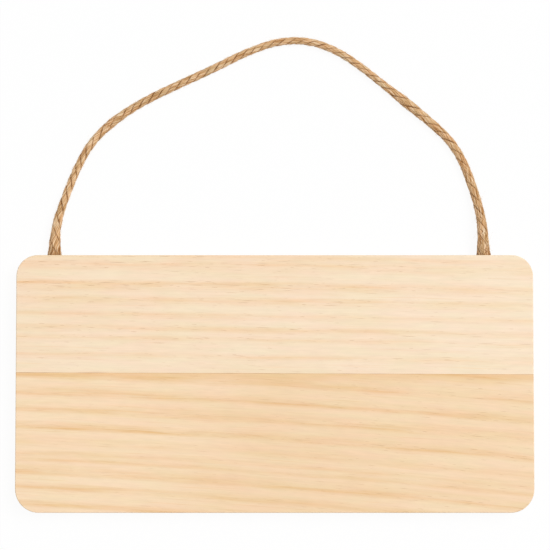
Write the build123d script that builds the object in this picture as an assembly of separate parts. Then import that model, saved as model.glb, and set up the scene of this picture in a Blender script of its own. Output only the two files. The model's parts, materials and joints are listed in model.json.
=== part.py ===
from build123d import *
import math
import os

# A blank hanging plaque: two pine boards glued edge to edge, and a jute rope loop whose two ends are glued
# into blind holes in the top edge. It lies on its back. +X runs along the top edge to the right, +Y points
# from the lower board to the rope, +Z is out of the front face. The origin is the middle of the back face.

# Plaque
PLAQUE_WIDTH = 240.0
PLAQUE_HEIGHT = 119.2
PLAQUE_THICKNESS = 12.0
UPPER_CORNER_RADIUS = 9.8
LOWER_CORNER_RADIUS = 11.0
EASED_EDGE_RADIUS = 0.5

# Glue line between the boards, a little out of parallel with the top edge
UPPER_BOARD_LEFT_HEIGHT = 54.4
UPPER_BOARD_RIGHT_HEIGHT = 55.3
GLUE_LINE_THICKNESS = 0.15

# Rope. Its unlaid tails are glued in, and its roots open out to fill the mouths of their holes.
ROPE_DIAMETER = 4.0
ROOT_LENGTH = 28.0
FLARE_LENGTH = 16.0
MOUTH_GAP = 0.05
TAIL_DIAMETER = 5.7
TAIL_DEPTH = 18.0

# Glued holes for the rope
LEFT_HOLE_INSET = 17.0
RIGHT_HOLE_INSET = 22.3
PLUG_WALL = 0.5
PLUG_FLOOR = 2.0
DRILL_POINT_ANGLE = 118.0

# Rope route. The rope leaves each hole straight for its exit run, then sinks to the surface it lies on.
# Each point of the loop is x from the plaque's middle, y beyond the top edge, and how much of the height
# of the hole over the lying rope is left there.
LEFT_EXIT_RUN = 8.9
RIGHT_EXIT_RUN = 11.0
LYING_GAP = 0.25
LOOP_POINTS = [
    (-101.5, 18.1, 0.64),
    (-98.1, 28.8, 0.20),
    (-93.3, 41.2, 0.0),
    (-86.9, 53.3, 0.0),
    (-76.5, 63.7, 0.0),
    (-62.8, 72.7, 0.0),
    (-45.8, 81.0, 0.0),
    (-29.3, 88.4, 0.0),
    (-13.9, 96.3, 0.0),
    (0.5, 101.5, 0.0),
    (13.4, 102.3, 0.0),
    (25.6, 99.1, 0.0),
    (37.4, 92.2, 0.0),
    (48.9, 83.1, 0.0),
    (61.4, 73.1, 0.0),
    (73.2, 63.5, 0.0),
    (82.4, 55.0, 0.0),
    (88.3, 45.7, 0.0),
    (92.7, 34.1, 0.06),
    (96.0, 22.5, 0.45),
]
ARC_SHARE = 0.45
ROOT_RINGS = 5

top_edge = PLAQUE_HEIGHT / 2
hole_height = PLAQUE_THICKNESS / 2
left_hole_x = LEFT_HOLE_INSET - PLAQUE_WIDTH / 2
right_hole_x = PLAQUE_WIDTH / 2 - RIGHT_HOLE_INSET
rope_radius = ROPE_DIAMETER / 2
hole_radius = TAIL_DIAMETER / 2 + PLUG_WALL
hole_depth = TAIL_DEPTH + PLUG_FLOOR


def plaque_blank():
    """The whole plaque before it is divided into boards, with rounded corners and eased edges."""
    outline = Rectangle(PLAQUE_WIDTH, PLAQUE_HEIGHT)
    outline = fillet(outline.vertices().group_by(Axis.Y)[-1], UPPER_CORNER_RADIUS)
    outline = fillet(outline.vertices().group_by(Axis.Y)[0], LOWER_CORNER_RADIUS)
    blank = extrude(outline, PLAQUE_THICKNESS)
    rims = blank.faces().filter_by(Axis.Z).edges()
    return fillet(rims, EASED_EDGE_RADIUS)


def glue_line_plane(below):
    """The plane of the glue line, or one the given distance below it, facing the lower board."""
    left_end = Vector(-PLAQUE_WIDTH / 2, top_edge - UPPER_BOARD_LEFT_HEIGHT, 0)
    right_end = Vector(PLAQUE_WIDTH / 2, top_edge - UPPER_BOARD_RIGHT_HEIGHT, 0)
    along = (right_end - left_end).normalized()
    downwards = Vector(along.Y, -along.X, 0)
    return Plane(origin=left_end + downwards * below, x_dir=along, z_dir=downwards)


def mouth_plane(hole_x):
    """The plane of a hole's mouth in the top edge, facing out of the hole."""
    return Plane(origin=(hole_x, top_edge, hole_height), x_dir=(1, 0, 0), z_dir=(0, 1, 0))


def sunk_cylinder(hole_x, radius, depth):
    """A cylinder that runs from a hole's mouth into the board."""
    column = Cylinder(radius, depth, align=(Align.CENTER, Align.CENTER, Align.MAX))
    return mouth_plane(hole_x) * column


def drilled_hole(hole_x):
    """The space that a twist drill leaves, with its pointed bottom."""
    point_depth = hole_radius / math.tan(math.radians(DRILL_POINT_ANGLE / 2))
    point = Cone(0, hole_radius, point_depth, align=(Align.CENTER, Align.CENTER, Align.MAX))
    bottom = mouth_plane(hole_x).offset(-hole_depth)
    return sunk_cylinder(hole_x, hole_radius, hole_depth) + bottom * point


def rope_route():
    """The points of the rope from one hole's mouth to the other."""
    lying_height = rope_radius + LYING_GAP
    route = [
        (left_hole_x, top_edge, hole_height),
        (left_hole_x, top_edge + LEFT_EXIT_RUN, hole_height),
    ]
    for x, beyond, lift in LOOP_POINTS:
        route.append((x, top_edge + beyond, lying_height + lift * (hole_height - lying_height)))
    route.append((right_hole_x, top_edge + RIGHT_EXIT_RUN, hole_height))
    route.append((right_hole_x, top_edge, hole_height))
    return [Vector(*point) for point in route]


def rope_path():
    """Straight runs joined by tangent arcs, each as large as its two runs allow."""
    route = rope_route()
    radii = []
    for before, corner, after in zip(route, route[1:], route[2:]):
        run_in = corner - before
        run_out = after - corner
        half_turn = math.radians(run_in.get_angle(run_out)) / 2
        radii.append(ARC_SHARE * min(run_in.length, run_out.length) / math.tan(half_turn))
    print("rope arc radii (mm):", [round(radius, 1) for radius in radii])
    return FilletPolyline(*route, radius=radii)


def section(path, distance, radius):
    """A round face square to the path, the given distance along it."""
    origin = path.position_at(distance, PositionMode.LENGTH)
    heading = path.tangent_at(distance, PositionMode.LENGTH)
    return Plane(origin=origin, x_dir=(0, 0, 1), z_dir=heading) * Circle(radius)


def rope_root(path, from_far_end):
    """The opened-out stretch of rope next to a hole, from its wide mouth to the plain rope."""
    mouth_radius = hole_radius - MOUTH_GAP
    rings = []
    for ring in range(ROOT_RINGS):
        from_mouth = ROOT_LENGTH * ring / (ROOT_RINGS - 1)
        opened = max(0.0, 1 - from_mouth / FLARE_LENGTH)
        radius = rope_radius + opened * (mouth_radius - rope_radius)
        distance = path.length - from_mouth if from_far_end else from_mouth
        rings.append(section(path, distance, radius))
    return loft(rings)


# Boards
blank = plaque_blank()
upper_board = split(blank, bisect_by=glue_line_plane(0), keep=Keep.BOTTOM)
below_line = split(blank, bisect_by=glue_line_plane(0), keep=Keep.TOP)
edge_glue_line = split(below_line, bisect_by=glue_line_plane(GLUE_LINE_THICKNESS), keep=Keep.BOTTOM)
lower_board = split(below_line, bisect_by=glue_line_plane(GLUE_LINE_THICKNESS), keep=Keep.TOP)

# Glued rope ends
tails = {}
plugs = {}
for side, hole_x in (("left", left_hole_x), ("right", right_hole_x)):
    hole = drilled_hole(hole_x)
    upper_board = upper_board - hole
    tails[side] = sunk_cylinder(hole_x, TAIL_DIAMETER / 2, TAIL_DEPTH)
    plugs[side] = hole - tails[side]

# Free rope
path = rope_path()
root_left = rope_root(path, from_far_end=False)
root_right = rope_root(path, from_far_end=True)
loop_path = path.trim(ROOT_LENGTH / path.length, 1 - ROOT_LENGTH / path.length)
rope_loop = sweep(section(path, ROOT_LENGTH, rope_radius), path=loop_path)
print("rope, mouth to mouth (mm):", round(path.length, 1))
plain_volume = math.pi * rope_radius**2 * loop_path.length
print("loop volume over section times length:", round(rope_loop.volume / plain_volume, 4))

nodes = {
    "upper_board": upper_board,
    "lower_board": lower_board,
    "edge_glue_line": edge_glue_line,
    "rope_tail_left": tails["left"],
    "rope_tail_right": tails["right"],
    "glue_plug_left": plugs["left"],
    "glue_plug_right": plugs["right"],
    "rope_root_left": root_left,
    "rope_root_right": root_right,
    "rope_loop": rope_loop,
}

os.makedirs("parts", exist_ok=True)
for name, solid in nodes.items():
    solid.label = name
    export_step(solid, f"parts/{name}.step")
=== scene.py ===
import json
import math
import random

import bmesh
import bpy
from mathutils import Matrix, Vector, noise

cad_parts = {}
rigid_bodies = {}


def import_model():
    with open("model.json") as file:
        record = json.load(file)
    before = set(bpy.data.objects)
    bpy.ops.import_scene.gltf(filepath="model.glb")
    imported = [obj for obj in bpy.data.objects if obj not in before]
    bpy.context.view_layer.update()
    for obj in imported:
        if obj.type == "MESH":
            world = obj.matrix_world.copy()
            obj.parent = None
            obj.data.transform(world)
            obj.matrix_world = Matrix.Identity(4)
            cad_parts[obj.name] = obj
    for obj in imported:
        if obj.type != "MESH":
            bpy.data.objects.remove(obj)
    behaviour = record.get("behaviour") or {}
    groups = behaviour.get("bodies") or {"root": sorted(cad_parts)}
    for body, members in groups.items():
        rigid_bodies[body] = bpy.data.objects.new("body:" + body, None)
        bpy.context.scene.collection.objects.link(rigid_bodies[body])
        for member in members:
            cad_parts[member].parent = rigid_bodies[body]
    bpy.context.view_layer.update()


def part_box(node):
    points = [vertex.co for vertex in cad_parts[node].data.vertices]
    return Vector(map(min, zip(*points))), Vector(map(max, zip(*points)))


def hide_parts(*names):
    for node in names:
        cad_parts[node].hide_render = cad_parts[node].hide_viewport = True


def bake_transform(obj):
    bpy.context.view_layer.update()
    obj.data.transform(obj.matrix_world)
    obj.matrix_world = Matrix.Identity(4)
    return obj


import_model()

# Upper board
# A planed and sanded strip of pale pine, with two blind holes drilled into its top edge for the rope. It is
# sawn so that its growth rings stand steeply to the face, where they show as lines along the board.
MM = 0.001
MM_PER_METRE = 1000.0
PLAQUE_TOP_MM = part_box("upper_board")[1].y * MM_PER_METRE
PLAQUE_HALF_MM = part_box("upper_board")[1].x * MM_PER_METRE
FRONT_FACE_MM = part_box("upper_board")[1].z * MM_PER_METRE
# How far the grain wavers, and over what lengths along the board, up it and through it in millimetres. Its
# thin marks are staggered: they are shifted along the board by this many times their height up it.
WAVER_MM = 1.2
WAVER_LENGTHS = (55, 8, 8)
NOISE_MIDDLE = 0.5
STAGGER = 7.3
# A band of late wood darkens in steps, given as parts of its width from its dark edge, and ends past it.
BAND_RISE = ((-1.0, 0.0), (-0.6, 0.45), (-0.12, 1.0))
BAND_EDGE_MM = 1.1
# Kinds of mark in the wood: their lengths along the board, up it and through it in millimetres, how much
# detail their noise has, and their strength or shade at a low and at a high level of that noise.
BAND_PATCHES = ((34, 2.4, 20), 1.5, [(0.36, 0.45), (0.64, 1.2)])
BAND_THREADS = ((18, 0.45, 8), 2.0, [(0.34, 0.6), (0.66, 1.3)])
LONE_THREADS = ((40, 0.5, 8), 2.0, [(0.6, 0.0), (0.75, 0.35)])
BROAD_TONE = ((45, 9, 9), 2.0, [(0.32, (0.99, 0.972, 0.95, 1.0)), (0.68, (1.005, 1.015, 1.025, 1.0))])
ROSY_TINT = ((26, 4, 12), 1.0, [(0.35, (1.012, 0.985, 0.995, 1.0)), (0.65, (0.988, 1.008, 0.98, 1.0))])
MOTTLE = ((8, 1.6, 4), 1.0, [(0.34, 0.982), (0.66, 1.014)])
STAIN_REACH = ((30, 60, 12), 1.0, [(0.3, 0.45), (0.7, 1.4)])
FIBRE_LENGTHS = (12, 0.32, 0.32)
FIBRE_SHADES = [(0.3, 0.978), (0.7, 1.015)]
# Resin canals are long or short. One starts to show where its noise passes the level of its kind, and is
# full an edge above that. Late wood raises the noise, so more of them show there.
CANAL_KINDS = ((9.0, 0.785), (4.0, 0.8))
CANAL_WIDTH_MM = 0.24
CANAL_EDGE = 0.08
CANALS_IN_LATE_WOOD = 0.14
# Where along the board its tones and shares are given, as parts of its length.
ALONG_PLACES = (0.2, 0.5, 0.8)
# The glue of a joint stains the wood, less and less with depth, and the board's two ends are darker.
STAIN_DEPTH_MM = 5.0
STAIN_FADE = [(0.0, 1.0), (0.3, 0.9), (1.0, 0.0)]
STAIN_SHADE = (0.95, 0.885, 0.765, 1.0)
END_GRAIN_FACING = [(0.75, 0.0), (0.98, 1.0)]
END_GRAIN_SHADE = (0.86, 0.78, 0.68, 1.0)
LATE_WOOD_RELIEF = 0.5
PINE_BUMP = {"Strength": 0.25, "Distance": 0.03 * MM}
PINE_FINISH = {"Roughness": 0.62, "Specular IOR Level": 0.3}


def colour(red, green, blue):
    """A colour given in the usual 0 to 255 steps, as the shaders need it."""
    steps = [part / 255 for part in (red, green, blue)]
    return [((step + 0.055) / 1.055) ** 2.4 if step > 0.04045 else step / 12.92 for step in steps] + [1.0]


def feed(tree, made, inputs):
    """Gives each named input of a node a value or another node's socket."""
    for name, value in inputs.items():
        if isinstance(value, bpy.types.NodeSocket):
            tree.links.new(value, made.inputs[name])
        else:
            made.inputs[name].default_value = value


def node(tree, kind, inputs=(), **settings):
    """A shader node with its settings and inputs."""
    made = tree.nodes.new("ShaderNode" + kind)
    for name, value in settings.items():
        setattr(made, name, value)
    feed(tree, made, dict(inputs))
    return made


def maths(tree, operation, *values):
    """One step of arithmetic on numbers or sockets."""
    return node(tree, "Math", enumerate(values), operation=operation).outputs[0]


def ramp(tree, value, stops):
    """A colour, or a plain number, read from stops along the value."""
    made = node(tree, "ValToRGB", {"Fac": value})
    elements = made.color_ramp.elements
    while len(elements) < len(stops):
        elements.new(1.0)
    for element, (position, shade) in zip(elements, stops):
        element.position = position
        element.color = (shade, shade, shade, 1.0) if isinstance(shade, float) else shade
    return made.outputs[0]


def mix(tree, amount, first, second, blend="MIX"):
    """Two colours mixed by an amount. A Mix node's colours are its inputs 6 and 7 and its output 2."""
    made = node(tree, "Mix", {0: amount, 6: first, 7: second}, data_type="RGBA", blend_type=blend)
    return made.outputs[2]


def streaks(tree, place, lengths, detail=2.0):
    """Noise from 0 to 1 that is drawn out to the given lengths along the three directions."""
    scale = [1 / length for length in lengths]
    stretched = node(tree, "Mapping", {"Vector": place, "Scale": scale}).outputs[0]
    return node(tree, "TexNoise", {"Vector": stretched, "Scale": 1.0, "Detail": detail}).outputs[0]


def marks(tree, place, lengths, detail, stops):
    """One kind of mark: the shades of its drawn-out noise."""
    return ramp(tree, streaks(tree, place, lengths, detail), stops)


def place_in_mm(tree):
    """Where a point of the piece lies, in millimetres."""
    in_metres = node(tree, "TexCoord").outputs["Object"]
    return node(tree, "VectorMath", {0: in_metres, "Scale": MM_PER_METRE}, operation="SCALE").outputs[0]


def new_material(name):
    """A material with its tree and its surface shader."""
    made = bpy.data.materials.new(name)
    made.use_nodes = True
    return made, made.node_tree, made.node_tree.nodes["Principled BSDF"]


def dress(piece, material):
    """Gives a piece one material all over."""
    piece.data.materials.clear()
    piece.data.materials.append(material)


def late_bands(tree, level, z, bands, pith):
    """How much of the wood is late wood, from 0 to 1, in rings round a pith. Neighbouring bands overlap, so
    every other band is in one ramp and the rest are in a second one."""
    across = node(tree, "CombineXYZ", {1: level, 2: z}).outputs[0]
    radius = node(tree, "VectorMath", {0: across, 1: (0, *pith)}, operation="DISTANCE").outputs["Value"]
    rings = []
    for depth, width, strength in bands:
        ring = math.hypot(PLAQUE_TOP_MM - depth - pith[0], FRONT_FACE_MM - pith[1])
        rings.append((ring, width, strength))
    rings.sort()
    inner = rings[0][0] - rings[0][1]
    outer = rings[-1][0] + BAND_EDGE_MM
    share = node(tree, "MapRange", {0: radius, 1: inner, 2: outer}).outputs[0]
    halves = []
    for first in (0, 1):
        stops = []
        for ring, width, strength in rings[first::2]:
            for part, darkness in BAND_RISE:
                stops.append((ring + part * width, darkness * strength))
            stops.append((ring + BAND_EDGE_MM, 0.0))
        halves.append(ramp(tree, share, [((at - inner) / (outer - inner), stop) for at, stop in stops]))
    return maths(tree, "ADD", *halves)


def pine(
    name, early, late, canal, tones, late_shares, canal_shares,
    bands, pith, slope, bend, fan, seed, joint=None,
):
    """Sawn pine. Its rings lie round a pith outside the board, given up the board and through it. Each band
    of late wood has the place of its dark edge on the front face, in millimetres below the plaque's top,
    then a width and a strength. The tones and shares are those at the left, in the middle and at the right.
    The seed moves the pattern along the board. A joint is given by its height halfway along the board and
    by its fall to the right."""
    made, tree, shader = new_material(name)
    x, y, z = node(tree, "SeparateXYZ", {0: place_in_mm(tree)}).outputs
    along_share = node(tree, "MapRange", {0: x, 1: -PLAQUE_HALF_MM, 2: PLAQUE_HALF_MM}).outputs[0]
    tone_there, late_there, canal_there = [
        ramp(tree, along_share, list(zip(ALONG_PLACES, values)))
        for values in (tones, late_shares, canal_shares)
    ]

    # The grain runs a little downhill, bends and fans out, and it wavers.
    downhill = maths(tree, "MULTIPLY_ADD", x, bend, slope)
    downhill = maths(tree, "MULTIPLY_ADD", y, -fan, downhill)
    level = maths(tree, "MULTIPLY_ADD", x, downhill, y)
    along_board = maths(tree, "ADD", x, seed)
    straightened = node(tree, "CombineXYZ", {0: along_board, 1: level, 2: z}).outputs[0]
    waver = maths(tree, "SUBTRACT", streaks(tree, straightened, WAVER_LENGTHS), NOISE_MIDDLE)
    level = maths(tree, "MULTIPLY_ADD", waver, WAVER_MM, level)
    grain = node(tree, "CombineXYZ", {0: along_board, 1: level, 2: z}).outputs[0]

    # Thin marks are shifted along the board from line to line, so that none line up across the grain.
    staggered = maths(tree, "MULTIPLY_ADD", level, STAGGER, along_board)
    thin_grain = node(tree, "CombineXYZ", {0: staggered, 1: level, 2: z}).outputs[0]

    # The bands come and go along the board. They are made of thin threads, and a few lie between them.
    late_share = maths(tree, "MULTIPLY", late_bands(tree, level, z, bands, pith), late_there)
    late_amount = maths(tree, "MULTIPLY", late_share, marks(tree, grain, *BAND_PATCHES))
    late_amount = maths(tree, "MULTIPLY", late_amount, marks(tree, thin_grain, *BAND_THREADS))
    late_amount = maths(tree, "MAXIMUM", late_amount, marks(tree, thin_grain, *LONE_THREADS))
    wood = mix(tree, late_amount, early, late)

    # Fine fibres and broad, rosy and mottled tones shade the whole board.
    fibres = streaks(tree, thin_grain, FIBRE_LENGTHS)
    shades = [ramp(tree, fibres, FIBRE_SHADES), tone_there]
    for kind in (BROAD_TONE, ROSY_TINT, MOTTLE):
        shades.append(marks(tree, grain, *kind))
    for shade in shades:
        wood = mix(tree, 1.0, wood, shade, "MULTIPLY")

    # Resin canals are thin dashes along the grain.
    for length, least in CANAL_KINDS:
        dashes = streaks(tree, thin_grain, (length, CANAL_WIDTH_MM, CANAL_WIDTH_MM), 0)
        dashes = maths(tree, "MULTIPLY_ADD", late_share, CANALS_IN_LATE_WOOD, dashes)
        dash = ramp(tree, dashes, [(least, 0.0), (least + CANAL_EDGE, 1.0)])
        wood = mix(tree, maths(tree, "MULTIPLY", dash, canal_there), wood, canal)

    # Wood drinks in the glue of its joint and is darker below it.
    if joint is not None:
        joint_middle, joint_fall = joint
        joint_level = maths(tree, "MULTIPLY_ADD", x, -joint_fall, joint_middle)
        depth = maths(tree, "MULTIPLY", marks(tree, grain, *STAIN_REACH), STAIN_DEPTH_MM)
        below = maths(tree, "DIVIDE", maths(tree, "SUBTRACT", joint_level, y), depth)
        stained = mix(tree, 1.0, wood, STAIN_SHADE, "MULTIPLY")
        wood = mix(tree, ramp(tree, below, STAIN_FADE), wood, stained)

    # Cut across the fibres, as at the two ends of the board, pine drinks in dust and looks darker.
    facing = node(tree, "SeparateXYZ", {0: node(tree, "TexCoord").outputs["Normal"]}).outputs[0]
    end_grain = ramp(tree, maths(tree, "ABSOLUTE", facing), END_GRAIN_FACING)
    wood = mix(tree, end_grain, wood, mix(tree, 1.0, wood, END_GRAIN_SHADE, "MULTIPLY"))

    height = maths(tree, "MULTIPLY_ADD", late_amount, LATE_WOOD_RELIEF, fibres)
    bump = node(tree, "Bump", {"Height": height, **PINE_BUMP}).outputs[0]
    feed(tree, shader, {"Base Color": wood, "Normal": bump, **PINE_FINISH})
    return made


pale_pine = pine(
    "pale_pine",
    early=colour(250, 228, 200),
    late=colour(243, 202, 155),
    canal=colour(190, 142, 96),
    tones=[(1.012, 1.004, 0.992, 1.0), (1.0, 0.991, 0.98, 1.0), (1.006, 1.016, 1.024, 1.0)],
    late_shares=[1.0, 1.05, 0.85],
    canal_shares=[0.7, 0.7, 0.55],
    bands=[
        (-9.0, 4.0, 0.5),
        (0.3, 4.5, 0.42),
        (4.2, 4.8, 0.48),
        (13.3, 5.0, 0.62),
        (20.6, 3.9, 0.55),
        (27.9, 2.8, 0.38),
        (34.2, 2.8, 0.5),
        (38.9, 2.4, 0.42),
        (46.9, 2.6, 0.4),
        (57.0, 3.0, 0.5),
    ],
    pith=(-260.0, -95.0),
    slope=0.0167,
    bend=0.000027,
    fan=0.0,
    seed=0.0,
)
dress(bpy.data.objects["upper_board"], pale_pine)

# Lower board
# A second strip of pine, from a yellower tree, glued edge to edge below the first. Its grain runs downhill
# to the right, and its bands of late wood are stronger.
glue_low, glue_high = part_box("edge_glue_line")
amber_pine = pine(
    "amber_pine",
    early=colour(248, 220, 185),
    late=colour(233, 186, 126),
    canal=colour(184, 134, 84),
    tones=[(1.038, 1.046, 1.062, 1.0), (0.992, 0.974, 0.95, 1.0), (1.0, 0.994, 0.984, 1.0)],
    late_shares=[1.05, 0.95, 0.85],
    canal_shares=[0.3, 0.35, 0.55],
    bands=[
        (43.0, 4.0, 0.5),
        (51.0, 3.0, 0.5),
        (60.8, 5.2, 0.46),
        (69.4, 4.2, 0.56),
        (77.8, 5.2, 0.5),
        (85.7, 3.6, 0.7),
        (93.3, 4.6, 0.28),
        (97.9, 2.2, 0.33),
        (101.1, 2.4, 0.42),
        (107.8, 5.4, 0.5),
        (114.6, 3.2, 0.56),
        (123.0, 3.0, 0.5),
        (131.0, 3.0, 0.5),
    ],
    pith=(250.0, -80.0),
    slope=0.0528,
    bend=0.0001,
    fan=0.00043,
    seed=400.0,
    joint=(
        (glue_low.y + glue_high.y) / 2 * MM_PER_METRE,
        (glue_high.y - glue_low.y) / (glue_high.x - glue_low.x),
    ),
)
dress(bpy.data.objects["lower_board"], amber_pine)

# Edge glue line
# The film of wood glue that joins the boards, sanded flush with them. It shows as a hairline that comes and
# goes along the joint.
FILM_PATCHES = ((14, 4, 4), 2.0, [(0.4, colour(228, 186, 136)), (0.62, colour(176, 122, 66))])
FILM_ROUGHNESS = 0.5
wood_glue, tree, shader = new_material("wood_glue")
film = marks(tree, place_in_mm(tree), *FILM_PATCHES)
feed(tree, shader, {"Base Color": film, "Roughness": FILM_ROUGHNESS})
dress(bpy.data.objects["edge_glue_line"], wood_glue)

# Glued rope ends
# The rope's two ends, unlaid into loose fibres and stuck into the drilled holes with clear glue, which
# fills the rest of each hole. Only their flat tops at the holes' mouths could ever be seen.
JUTE_PALE = colour(250, 223, 190)
JUTE_MIDDLE = colour(219, 179, 132)
JUTE_DARK = colour(166, 112, 54)
COARSE_FIBRE_LENGTHS = (0.45, 9, 0.45)
COARSE_FIBRE_SHADES = [(0.32, JUTE_DARK), (0.5, JUTE_MIDDLE), (0.7, JUTE_PALE)]
FINE_FIBRE_LENGTHS = (0.16, 4, 0.16)
FINE_FIBRE_SHADES = [(0.3, 0.82), (0.7, 1.1)]
JUTE_PATCHES = ((2.5, 13, 2.5), 1.0, [(0.32, (1.06, 0.98, 0.92, 1.0)), (0.68, (0.97, 1.0, 0.98, 1.0))])
JUTE_END_ROUGHNESS = 0.9
GLUE_CLOUDS = ((2, 2, 2), 2.0, [(0.35, colour(226, 206, 164)), (0.65, colour(240, 226, 194))])
CLEAR_GLUE_ROUGHNESS = 0.25


def jute(tree, place):
    """The colour and height of jute fibres. The place is in millimetres: first across the fibres, then
    along them and, in a solid, into them."""
    coarse = streaks(tree, place, COARSE_FIBRE_LENGTHS)
    fine = streaks(tree, place, FINE_FIBRE_LENGTHS)
    fibres = ramp(tree, coarse, COARSE_FIBRE_SHADES)
    fibres = mix(tree, 1.0, fibres, ramp(tree, fine, FINE_FIBRE_SHADES), "MULTIPLY")
    fibres = mix(tree, 1.0, fibres, marks(tree, place, *JUTE_PATCHES), "MULTIPLY")
    return fibres, maths(tree, "ADD", coarse, fine)


jute_end, tree, shader = new_material("jute_end")
fibres, height = jute(tree, place_in_mm(tree))
feed(tree, shader, {"Base Color": fibres, "Roughness": JUTE_END_ROUGHNESS})

clear_glue, tree, shader = new_material("clear_glue")
cloudy = marks(tree, place_in_mm(tree), *GLUE_CLOUDS)
feed(tree, shader, {"Base Color": cloudy, "Roughness": CLEAR_GLUE_ROUGHNESS})

for side in ("left", "right"):
    dress(bpy.data.objects["rope_tail_" + side], jute_end)
    dress(bpy.data.objects["glue_plug_" + side], clear_glue)

# Rope
# One length of three-strand jute rope, laid left-handed, from hole to hole. It stands out of each hole with
# its strands opened, sinks to the surface beside the plaque and lies there in a loose, uneven loop.
ROPE_ROUTE = [
    (-0.1030, 0.0596, 0.0060),
    (-0.1030, 0.0685, 0.0060),
    (-0.1015, 0.0777, 0.00465),
    (-0.0981, 0.0884, 0.0030),
    (-0.0933, 0.1008, 0.00225),
    (-0.0869, 0.1129, 0.00225),
    (-0.0765, 0.1233, 0.00225),
    (-0.0628, 0.1323, 0.00225),
    (-0.0458, 0.1406, 0.00225),
    (-0.0293, 0.1480, 0.00225),
    (-0.0139, 0.1559, 0.00225),
    (0.0005, 0.1611, 0.00225),
    (0.0134, 0.1619, 0.00225),
    (0.0256, 0.1587, 0.00225),
    (0.0374, 0.1518, 0.00225),
    (0.0489, 0.1427, 0.00225),
    (0.0614, 0.1327, 0.00225),
    (0.0732, 0.1231, 0.00225),
    (0.0824, 0.1146, 0.00225),
    (0.0883, 0.1053, 0.00225),
    (0.0927, 0.0937, 0.002475),
    (0.0960, 0.0821, 0.0039375),
    (0.0977, 0.0706, 0.0060),
    (0.0977, 0.0596, 0.0060),
]
# How far along from the left hole, how thick the rope is there and how long one turn of its lay is, all in
# millimetres, then how far its strands stand open and how strong the painted shade in the grooves between
# them is. It is slack near the holes and at the loop's two shoulders.
ROPE_STRETCHES = [
    (0, 6.6, 22.0, 1.0, 1.1),
    (3, 5.7, 22.0, 0.85, 1.1),
    (6, 5.3, 22.0, 0.65, 1.2),
    (12, 4.25, 21.0, 0.3, 1.2),
    (26, 3.75, 19.0, 0.1, 1.4),
    (45, 3.63, 16.0, 0.0, 1.55),
    (62, 3.75, 17.0, 0.1, 1.45),
    (70, 4.1, 25.0, 0.4, 1.3),
    (79, 3.8, 15.0, 0.1, 1.15),
    (130, 3.7, 14.45, 0.0, 1.0),
    (145, 3.45, 14.25, 0.0, 0.85),
    (200, 3.4, 14.0, 0.0, 0.75),
    (213, 3.55, 15.0, 0.1, 0.95),
    (228, 4.55, 23.0, 0.4, 1.55),
    (242, 4.15, 17.0, 0.15, 0.9),
    (262, 4.0, 18.0, 0.3, 0.85),
    (280, 4.15, 18.5, 0.45, 0.8),
    (293, 4.2, 19.0, 0.6, 0.8),
    (303, 4.95, 22.0, 0.8, 0.9),
    (309, 5.7, 24.0, 0.9, 1.0),
    (313, 6.7, 25.0, 1.0, 1.0),
]
THICKNESS_COLUMN = 1
LAY_COLUMN = 2
OPENED_COLUMN = 3
PAINTED_GROOVE_SHADE_COLUMN = 4
STRANDS = 3
STRAND_COLUMNS = 32
RINGS_PER_SPAN = 32
# A strand's middle, half width and girth are shares of the rope's radius.
STRAND_CENTRE = 0.54
STRAND_WIDTH = 0.68
STRAND_GIRTH = 3.4
STRAND_GAP = 0.01 * MM
OPEN_STRAND_SPREAD = 0.2
FIRST_STRAND_TURN = -0.02
# Strands wobble in turns and swell in shares of their size. The noise for it has a length in millimetres, a
# step from strand to strand and a start.
STRAND_WOBBLE = 0.03
WOBBLE_NOISE = (11, 5.3, 1.7)
STRAND_SWELL = 0.09
SWELL_NOISE = (8, 3.1, 8.2)
# Yarns show as ridges on each strand, deeper where the strands are open, and drift round it along the rope.
YARNS = 7
YARN_DEPTH = 0.06 * MM
OPEN_YARN_DEPTH = 0.3 * MM
YARN_MEAN_CROWN = 0.8
# How strong the painted shade in the gaps between yarns is where the strands stand fully open.
OPEN_YARN_PAINTED_SHADE = 0.4
FIBRE_DRIFT = 0.75
FIBRE_MAP_STEP_MM = 40
# The ends are sunk into the holes, and the whole rope stays above the surface that it lies on.
SUNK_END = 0.8 * MM
FLOOR_CLEARANCE = 0.02 * MM
GRID_HALF = 0.5
SEAM_REACH = 0.001 * MM
# Painted shade darkens its grooves, unevenly along them, and a painted shadow darkens its ends where
# they go into the holes.
PAINTED_CREASE_SHADE = colour(130, 74, 12)
PAINTED_CREASE_SHARES = [(0.03, 0.0), (0.14, 0.45), (0.28, 0.95)]
PAINTED_CREASE_PATCHES = ((1.2, 3, 1), 1.0, [(0.38, 0.25), (0.62, 1.15)])
# A painted shadow darkens the rope within this many millimetres of each hole.
PAINTED_MOUTH_SHADOW_MM = 5.0
PAINTED_MOUTH_SHADOW_SHARES = [(0.0, 0.85), (0.24, 0.36), (0.65, 0.24), (1.0, 0.0)]
PAINTED_MOUTH_SHADOW = (0.42, 0.36, 0.28, 1.0)
JUTE_BUMP = {"Strength": 0.6, "Distance": 0.12 * MM}
JUTE_FINISH = {"Roughness": 0.85, "Specular IOR Level": 0.2, "Sheen Weight": 0.08, "Sheen Roughness": 0.5}

route_curve = bpy.data.curves.new("rope_route", "CURVE")
route_curve.dimensions = "3D"
route_curve.resolution_u = RINGS_PER_SPAN
spline = route_curve.splines.new("NURBS")
spline.points.add(len(ROPE_ROUTE) - 1)
for point, place in zip(spline.points, ROPE_ROUTE):
    point.co = (*place, 1.0)
spline.order_u = 3
spline.use_endpoint_u = True
route_object = bpy.data.objects.new("rope_route", route_curve)
route_mesh = bpy.data.meshes.new_from_object(route_object)
rope_line = [vertex.co.copy() for vertex in route_mesh.vertices]
bpy.data.objects.remove(route_object)
bpy.data.curves.remove(route_curve)
bpy.data.meshes.remove(route_mesh)


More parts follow.
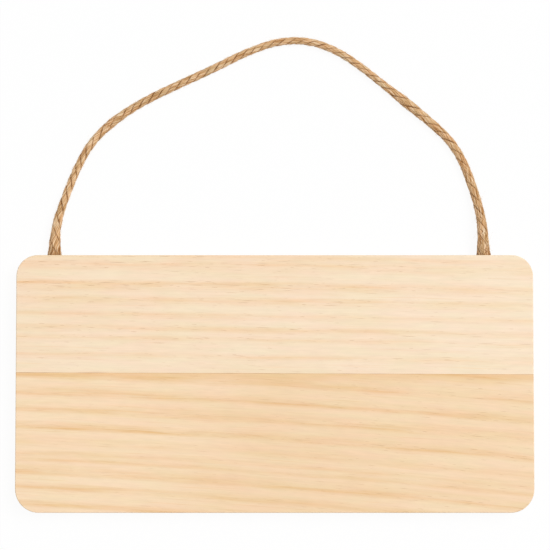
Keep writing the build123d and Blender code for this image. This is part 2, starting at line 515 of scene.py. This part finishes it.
def rope_value(in_mm, column):
    """A value read between the stretches of the rope, the given distance from the left hole."""
    for before, after in zip(ROPE_STRETCHES, ROPE_STRETCHES[1:]):
        if in_mm <= after[0]:
            part = (in_mm - before[0]) / (after[0] - before[0])
            eased = part * part * (3 - 2 * part)
            return before[column] + eased * (after[column] - before[column])
    return ROPE_STRETCHES[-1][column]


def unevenness(in_mm, strand, length, strand_step, start):
    """Smooth noise along a strand, different for each strand."""
    return noise.noise(Vector((in_mm / length, strand * strand_step, start)))


class RopeRing:
    """The rope at one point of its line: its place, its directions, its size and its strands' turns."""

    def __init__(self, centre, heading, upwards, travelled, turned):
        in_mm = travelled * MM_PER_METRE
        self.centre = centre
        self.heading = heading
        self.upwards = upwards
        self.sideways = heading.cross(upwards)
        self.travelled = travelled
        self.radius = rope_value(in_mm, THICKNESS_COLUMN) * MM / 2
        self.opened = rope_value(in_mm, OPENED_COLUMN)
        # How strong the painted shade in the grooves between the strands is here.
        self.painted_groove_shade = rope_value(in_mm, PAINTED_GROOVE_SHADE_COLUMN)
        self.yarn_depth = YARN_DEPTH + self.opened * (OPEN_YARN_DEPTH - YARN_DEPTH)
        self.turns = []
        self.sizes = []
        for strand in range(STRANDS):
            wobble = STRAND_WOBBLE * unevenness(in_mm, strand, *WOBBLE_NOISE)
            swell = STRAND_SWELL * unevenness(in_mm, strand, *SWELL_NOISE)
            self.turns.append(FIRST_STRAND_TURN + strand / STRANDS - turned + wobble)
            self.sizes.append(1 + swell)

    def spot(self, turn, radius):
        """A point at the given part of a turn round the rope and distance from its middle."""
        angle = 2 * math.pi * turn
        return self.centre + radius * (math.cos(angle) * self.upwards + math.sin(angle) * self.sideways)


rope_rings = []
travelled = 0.0
turned = 0.0
upwards = Vector((0, 0, 1))
heading = (rope_line[1] - rope_line[0]).normalized()
for number, centre in enumerate(rope_line):
    ahead = rope_line[min(number + 1, len(rope_line) - 1)]
    behind = rope_line[max(number - 1, 0)]
    new_heading = (ahead - behind).normalized()
    upwards = heading.rotation_difference(new_heading) @ upwards
    heading = new_heading
    step = (centre - behind).length
    travelled += step
    turned += step / (rope_value(travelled * MM_PER_METRE, LAY_COLUMN) * MM)
    rope_rings.append(RopeRing(centre, heading, upwards, travelled, turned))
rope_rings[0].centre = rope_line[0] - rope_rings[0].heading * SUNK_END
rope_rings[-1].centre = rope_line[-1] + rope_rings[-1].heading * SUNK_END


def strand_point(ring, strand, girth_part):
    """A point of a strand's skin, and how much painted shade it gets: from 0 outside to about 1 in the
    middle of the rope, and more in the gaps between open yarns. The strand is an oval of yarns, pressed
    flat where it meets its neighbours."""
    own_turn = ring.turns[strand]
    next_turn = ring.turns[(strand + 1) % STRANDS]
    last_turn = ring.turns[strand - 1]
    half_gap_next = ((next_turn - own_turn) % 1) * math.pi
    half_gap_last = ((own_turn - last_turn) % 1) * math.pi
    angle = 2 * math.pi * girth_part + math.pi
    yarn_turn = YARNS * (girth_part - ring.travelled * FIBRE_DRIFT / (STRAND_GIRTH * ring.radius))
    yarn_crown = abs(math.sin(math.pi * yarn_turn))
    ridge = ring.yarn_depth * (yarn_crown - YARN_MEAN_CROWN)
    size = ring.sizes[strand]
    half_height = (1 - STRAND_CENTRE) * ring.radius * size + ridge
    half_width = STRAND_WIDTH * ring.radius * size * (1 + OPEN_STRAND_SPREAD * ring.opened) + ridge
    outwards = STRAND_CENTRE * ring.radius + half_height * math.cos(angle)
    sideways = half_width * math.sin(angle)
    half_gap = half_gap_next if sideways > 0 else half_gap_last
    side = 1 if sideways > 0 else -1
    inside = outwards * math.sin(half_gap) - abs(sideways) * math.cos(half_gap) - STRAND_GAP
    if inside < 0:
        outwards -= inside * math.sin(half_gap)
        sideways += inside * math.cos(half_gap) * side
    radius = math.hypot(outwards, sideways)
    point = ring.spot(own_turn + math.atan2(sideways, outwards) / (2 * math.pi), radius)
    point.z = max(point.z, FLOOR_CLEARANCE)
    # Painted shade in the gaps between yarns where the strands stand open.
    painted_shade_between_yarns = OPEN_YARN_PAINTED_SHADE * ring.opened * (1 - yarn_crown) ** 2
    # The grooves get painted shade that grows towards the middle of the rope.
    return point, ring.painted_groove_shade * (1 - radius / ring.radius) + painted_shade_between_yarns


def lay_strand(mesh, strand, fibre_map, painted_shade_layer):
    """Rolls a flat grid into one strand that winds along the whole rope."""
    last_ring = len(rope_rings) - 1
    made = bmesh.ops.create_grid(mesh, x_segments=STRAND_COLUMNS, y_segments=last_ring, size=GRID_HALF)
    fibre_places = {}
    faces = set()
    for vert in made["verts"]:
        girth_part = vert.co.x + GRID_HALF
        ring = rope_rings[round((vert.co.y + GRID_HALF) * last_ring)]
        vert.co, vert[painted_shade_layer] = strand_point(ring, strand, girth_part)
        girth = (STRAND_GIRTH * ring.radius * girth_part - ring.travelled * FIBRE_DRIFT) * MM_PER_METRE
        fibre_places[vert] = (girth + FIBRE_MAP_STEP_MM * strand, ring.travelled * MM_PER_METRE)
        faces.update(vert.link_faces)
    for face in faces:
        face.smooth = True
        for corner in face.loops:
            corner[fibre_map].uv = fibre_places[corner.vert]
    seam = [vert for vert in made["verts"] if any(edge.is_boundary for edge in vert.link_edges)]
    bmesh.ops.remove_doubles(mesh, verts=seam, dist=SEAM_REACH)


rope_mesh = bmesh.new()
fibre_map = rope_mesh.loops.layers.uv.new("fibres")
# Each point of the rope carries the strength of its painted shade.
painted_shade_layer = rope_mesh.verts.layers.float.new("depth")
for strand in range(STRANDS):
    lay_strand(rope_mesh, strand, fibre_map, painted_shade_layer)
open_ends = [edge for edge in rope_mesh.edges if edge.is_boundary]
bmesh.ops.holes_fill(rope_mesh, edges=open_ends, sides=0)
bmesh.ops.recalc_face_normals(rope_mesh, faces=rope_mesh.faces)


def new_piece(name, mesh):
    """Turns a finished bmesh into an object at the origin."""
    data = bpy.data.meshes.new(name)
    mesh.to_mesh(data)
    mesh.free()
    made = bpy.data.objects.new(name, data)
    bpy.context.collection.objects.link(made)
    return made


rope = new_piece("rope", rope_mesh)
laid_jute, tree, shader = new_material("laid_jute")
fibre_place = node(tree, "UVMap", uv_map="fibres").outputs[0]
fibres, height = jute(tree, fibre_place)
# Painted shade in the grooves and between open yarns, uneven along the rope.
depth = node(tree, "Attribute", attribute_name="depth").outputs["Fac"]
painted_crease_shade = ramp(tree, depth, PAINTED_CREASE_SHARES)
painted_crease_shade = maths(tree, "MULTIPLY", painted_crease_shade, marks(tree, fibre_place, *PAINTED_CREASE_PATCHES))
fibres = mix(tree, painted_crease_shade, fibres, PAINTED_CREASE_SHADE)
# A painted shadow darkens the ends where they go into the holes.
from_left = node(tree, "SeparateXYZ", {0: fibre_place}).outputs[1]
from_right = maths(tree, "SUBTRACT", travelled * MM_PER_METRE, from_left)
from_hole = maths(tree, "DIVIDE", maths(tree, "MINIMUM", from_left, from_right), PAINTED_MOUTH_SHADOW_MM)
mouth_shadowed = mix(tree, 1.0, fibres, PAINTED_MOUTH_SHADOW, "MULTIPLY")
fibres = mix(tree, ramp(tree, from_hole, PAINTED_MOUTH_SHADOW_SHARES), fibres, mouth_shadowed)
bump = node(tree, "Bump", {"Height": height, **JUTE_BUMP}).outputs[0]
feed(tree, shader, {"Base Color": fibres, "Normal": bump, **JUTE_FINISH})
dress(rope, laid_jute)
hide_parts("rope_loop", "rope_root_left", "rope_root_right")
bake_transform(rope)

# Stray fibres
# Ends of jute that stick out of the rope all along it, as they do on any natural rope: a short fuzz and
# some long ones. They are part of the strands and are held by the twist.
STRAY_KINDS = [
    {"count": 4500, "length": (0.6, 1.7), "lift": (0.15, 0.8), "droop": 0.2, "thickness": (0.035, 0.06)},
    {"count": 170, "length": (1.8, 4.6), "lift": (0.15, 0.7), "droop": 0.4, "thickness": (0.035, 0.06)},
]
STRAY_SIDES = 3
STRAY_RINGS = 3
STRAY_ROOT = 0.05 * MM
STRAY_TAPER = 0.7
STRAY_GIRTH_PARTS = (0.34, 0.66)
STRAY_TURN = (-0.3, 0.3)
STRAY_SEAM_REACH = 0.0005 * MM
STRAY_TONES = ((6, 6, 6), 2.0, [(0.35, JUTE_MIDDLE), (0.6, JUTE_PALE)])
STRAY_ROUGHNESS = 0.7
STRAY_SEED = 11
chance = random.Random(STRAY_SEED)


def stray_line(kind):
    """Where a fibre leaves a strand's skin, the way it goes and how it curves, all by chance."""
    ring = chance.choice(rope_rings[1:-1])
    strand = chance.randrange(STRANDS)
    root = strand_point(ring, strand, chance.uniform(*STRAY_GIRTH_PARTS))[0]
    outwards = (root - ring.centre).normalized()
    onwards = ring.heading * chance.choice((-1, 1)) + ring.upwards * chance.uniform(*STRAY_TURN)
    way = (onwards + outwards * chance.uniform(*kind["lift"])).normalized()
    droop = Vector([chance.uniform(-kind["droop"], kind["droop"]) for axis in range(3)])
    length = chance.uniform(*kind["length"]) * MM
    thickness = chance.uniform(*kind["thickness"]) * MM
    return root - outwards * STRAY_ROOT, outwards, ring.sideways, way * length, droop * length, thickness


# A flat sheet is cut into narrow strips, and each strip is rolled into one fibre.
strays = [stray_line(kind) for kind in STRAY_KINDS for number in range(kind["count"])]
strip_columns = STRAY_SIDES + 1
last_column = len(strays) * strip_columns - 1
stray_mesh = bmesh.new()
sheet = bmesh.ops.create_grid(stray_mesh, x_segments=last_column, y_segments=STRAY_RINGS, size=GRID_HALF)
column_of = {vert: round((vert.co.x + GRID_HALF) * last_column) for vert in sheet["verts"]}
between = []
for face in stray_mesh.faces:
    if len({column_of[vert] // strip_columns for vert in face.verts}) > 1:
        between.append(face)
bmesh.ops.delete(stray_mesh, geom=between, context="FACES")
for vert, column in column_of.items():
    root, outwards, sideways, way, droop, thickness = strays[column // strip_columns]
    angle = 2 * math.pi * (column % strip_columns) / STRAY_SIDES
    part = vert.co.y + GRID_HALF
    taper = thickness / 2 * (1 - STRAY_TAPER * part)
    vert.co = root + way * part + droop * part * part
    vert.co += taper * (math.cos(angle) * outwards + math.sin(angle) * sideways)
    vert.co.z = max(vert.co.z, FLOOR_CLEARANCE)
bmesh.ops.remove_doubles(stray_mesh, verts=stray_mesh.verts, dist=STRAY_SEAM_REACH)
bmesh.ops.recalc_face_normals(stray_mesh, faces=stray_mesh.faces)
stray_fibres = new_piece("stray_fibres", stray_mesh)
stray_jute, tree, shader = new_material("stray_jute")
tone = marks(tree, place_in_mm(tree), *STRAY_TONES)
feed(tree, shader, {"Base Color": tone, "Roughness": STRAY_ROUGHNESS})
dress(stray_fibres, stray_jute)
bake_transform(stray_fibres)

# Floor
# The white surface that the plaque and its rope lie on. It is a flat sheet just below them, and looks white
# wherever no shadow falls.
FLOOR_SIZE = 8.0
FLOOR_GAP = 0.1 * MM
FLOOR_WHITE_SHARE = 0.94
FLOOR_SHADE = (0.96, 0.96, 0.96, 1.0)
WHITE = (1.0, 1.0, 1.0, 1.0)


def seen_share(tree):
    """1 for what the camera sees, also in gloss and through glass, and 0 for other light."""
    seen = node(tree, "LightPath").outputs
    share = maths(tree, "MAXIMUM", seen["Is Camera Ray"], seen["Is Glossy Ray"])
    return maths(tree, "MAXIMUM", share, seen["Is Transmission Ray"])


floor_mesh = bmesh.new()
bmesh.ops.create_grid(floor_mesh, x_segments=1, y_segments=1, size=FLOOR_SIZE / 2)
bmesh.ops.translate(floor_mesh, verts=floor_mesh.verts, vec=(0, 0, -FLOOR_GAP))
floor = new_piece("floor", floor_mesh)
white_floor = bpy.data.materials.new("white_floor")
white_floor.use_nodes = True
tree = white_floor.node_tree
tree.nodes.clear()
white_share = maths(tree, "MULTIPLY", seen_share(tree), FLOOR_WHITE_SHARE)
shaded = node(tree, "BsdfDiffuse", {"Color": FLOOR_SHADE}).outputs[0]
white = node(tree, "Emission", {"Color": WHITE, "Strength": 1.0}).outputs[0]
surface = node(tree, "MixShader", {0: white_share, 1: shaded, 2: white}).outputs[0]
node(tree, "OutputMaterial", {"Surface": surface})
dress(floor, white_floor)

# Light
# A wide soft lamp from the upper right of the photo's view, and white light from all round. The camera sees
# pure white beyond the floor.
WORLD_LEVEL = 0.45
LAMP_WATTS = 164.0
LAMP_SIZE = 2.6
LAMP_PLACE = Vector((2.2, 1.35, 4.3))
LAMP_TARGET = Vector((0, 0.05, 0))
world = bpy.data.worlds.new("white_room")
bpy.context.scene.world = world
world.use_nodes = True
tree = world.node_tree
tree.nodes.clear()
world_level = maths(tree, "MULTIPLY_ADD", seen_share(tree), 1.0 - WORLD_LEVEL, WORLD_LEVEL)
sky = node(tree, "Background", {"Color": WHITE, "Strength": world_level}).outputs[0]
node(tree, "OutputWorld", {"Surface": sky})

lamp_data = bpy.data.lights.new("wide_lamp", "AREA")
lamp_data.energy = LAMP_WATTS
lamp_data.size = LAMP_SIZE
lamp = bpy.data.objects.new("wide_lamp", lamp_data)
lamp.location = LAMP_PLACE
lamp.rotation_euler = (LAMP_TARGET - LAMP_PLACE).to_track_quat("-Z", "Y").to_euler()
bpy.context.collection.objects.link(lamp)

# Camera
# It looks straight down on the plaque, a very little from the side of its bottom edge, through a long lens.
CAMERA_DISTANCE = 0.8
CAMERA_TILT = math.radians(2.477)
CAMERA_TARGET = Vector((0.000129, 0.05033, FRONT_FACE_MM * MM))
LENS_MM = 112.78
SENSOR_MM = 36.0
camera_data = bpy.data.cameras.new("camera")
camera_data.sensor_width = SENSOR_MM
camera_data.lens = LENS_MM
camera = bpy.data.objects.new("camera", camera_data)
towards_camera = Vector((0, -math.sin(CAMERA_TILT), math.cos(CAMERA_TILT)))
camera.location = CAMERA_TARGET + CAMERA_DISTANCE * towards_camera
camera.rotation_euler = (CAMERA_TILT, 0, 0)
bpy.context.collection.objects.link(camera)
bpy.context.scene.camera = camera
bpy.context.scene.view_settings.view_transform = "Standard"
